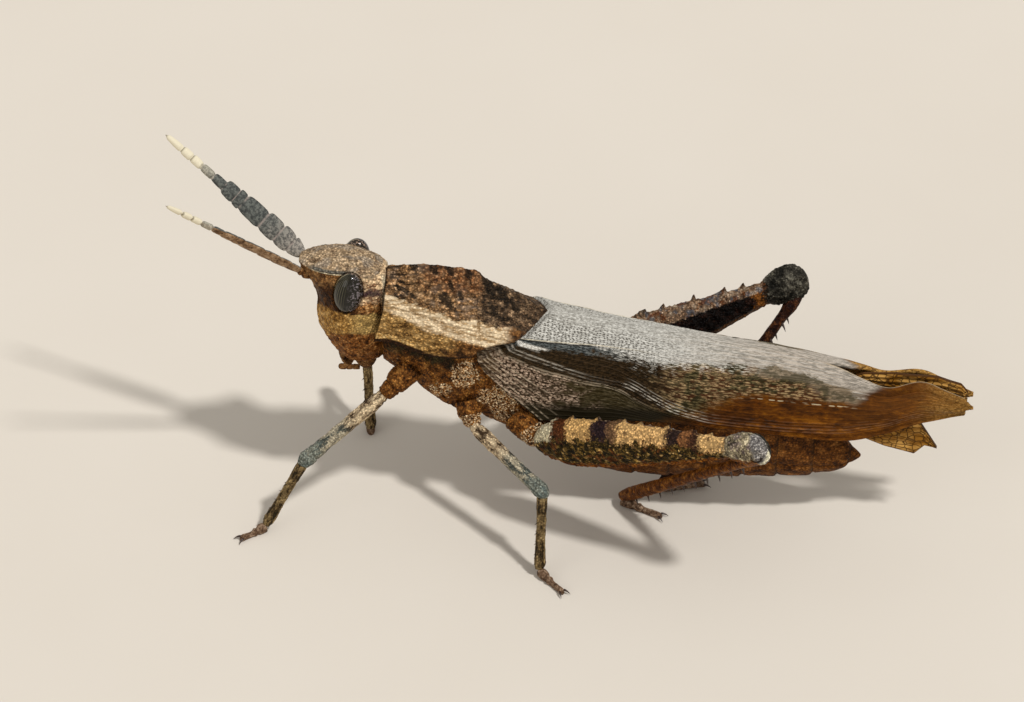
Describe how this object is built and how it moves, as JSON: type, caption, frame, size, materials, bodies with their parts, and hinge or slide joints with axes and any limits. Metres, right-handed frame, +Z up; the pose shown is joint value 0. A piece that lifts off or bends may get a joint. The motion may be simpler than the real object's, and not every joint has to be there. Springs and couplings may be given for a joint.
{
  "type": "grasshopper",
  "caption": "Winged toad grasshopper standing at rest: sword-shaped feelers, crested neck shield, folded mottled wings and flattened, toothed hind thighs.",
  "frame": {"origin": "on the floor, under the middle of the whole animal's box", "axes": "-X towards the head, +X towards the wing tips, +Y towards the animal's right side, +Z up"},
  "size_m": [0.063, 0.0266, 0.0288],
  "materials": {
    "crown": "dry, fine-grained olive-grey cuticle",
    "mouthparts": "dull rust-brown cuticle",
    "eye": "glossy dark eye with pale upright stripes",
    "antenna": "dull slate-grey blades with pale joints",
    "pronotum": "rough rust and tan cuticle with dark spots",
    "pleura": "rough rust-brown cuticle with pale tubercles",
    "abdomen": "satin orange-brown cuticle",
    "forewing": "dry grey and brown leathery wing with raised veins",
    "hindwing": "thin golden wing with a dark net of veins",
    "walking_leg": "dull grey-green cuticle with mottles",
    "hind_femur": "rough banded cuticle with toothed keels",
    "hind_tibia": "satin red-brown cuticle with dark spines",
    "foot": "dull brown cuticle"
  },
  "bodies": {
    "root": {"head": "crown", "labrum": "mouthparts", "eye_left": "eye", "mandible_left": "mouthparts", "palp_left": "mouthparts", "antenna_left": "antenna", "scape_left": "mouthparts", "tegmen_left": "forewing", "hindwing_left": "hindwing", "eye_right": "eye", "mandible_right": "mouthparts", "palp_right": "mouthparts", "antenna_right": "antenna", "scape_right": "mouthparts", "tegmen_right": "forewing", "hindwing_right": "hindwing", "pronotum": "pronotum", "thorax": "pleura", "abdomen_front": "abdomen", "abdomen_middle": "abdomen", "abdomen_tip": "abdomen", "coxa_fore_left": "pleura", "femur_fore_left": "walking_leg", "tibia_fore_left": "walking_leg", "tarsus_fore_left": "foot", "coxa_fore_right": "pleura", "femur_fore_right": "walking_leg", "tibia_fore_right": "walking_leg", "tarsus_fore_right": "foot", "coxa_mid_left": "pleura", "femur_mid_left": "walking_leg", "tibia_mid_left": "walking_leg", "tarsus_mid_left": "foot", "coxa_mid_right": "pleura", "femur_mid_right": "walking_leg", "tibia_mid_right": "walking_leg", "tarsus_mid_right": "foot", "coxa_hind_left": "pleura", "femur_hind_left": "hind_femur", "tibia_hind_left": "hind_tibia", "tarsus_hind_left": "foot", "coxa_hind_right": "pleura", "femur_hind_right": "hind_femur", "tibia_hind_right": "hind_tibia", "tarsus_hind_right": "foot"}
  },
  "joints": []
}
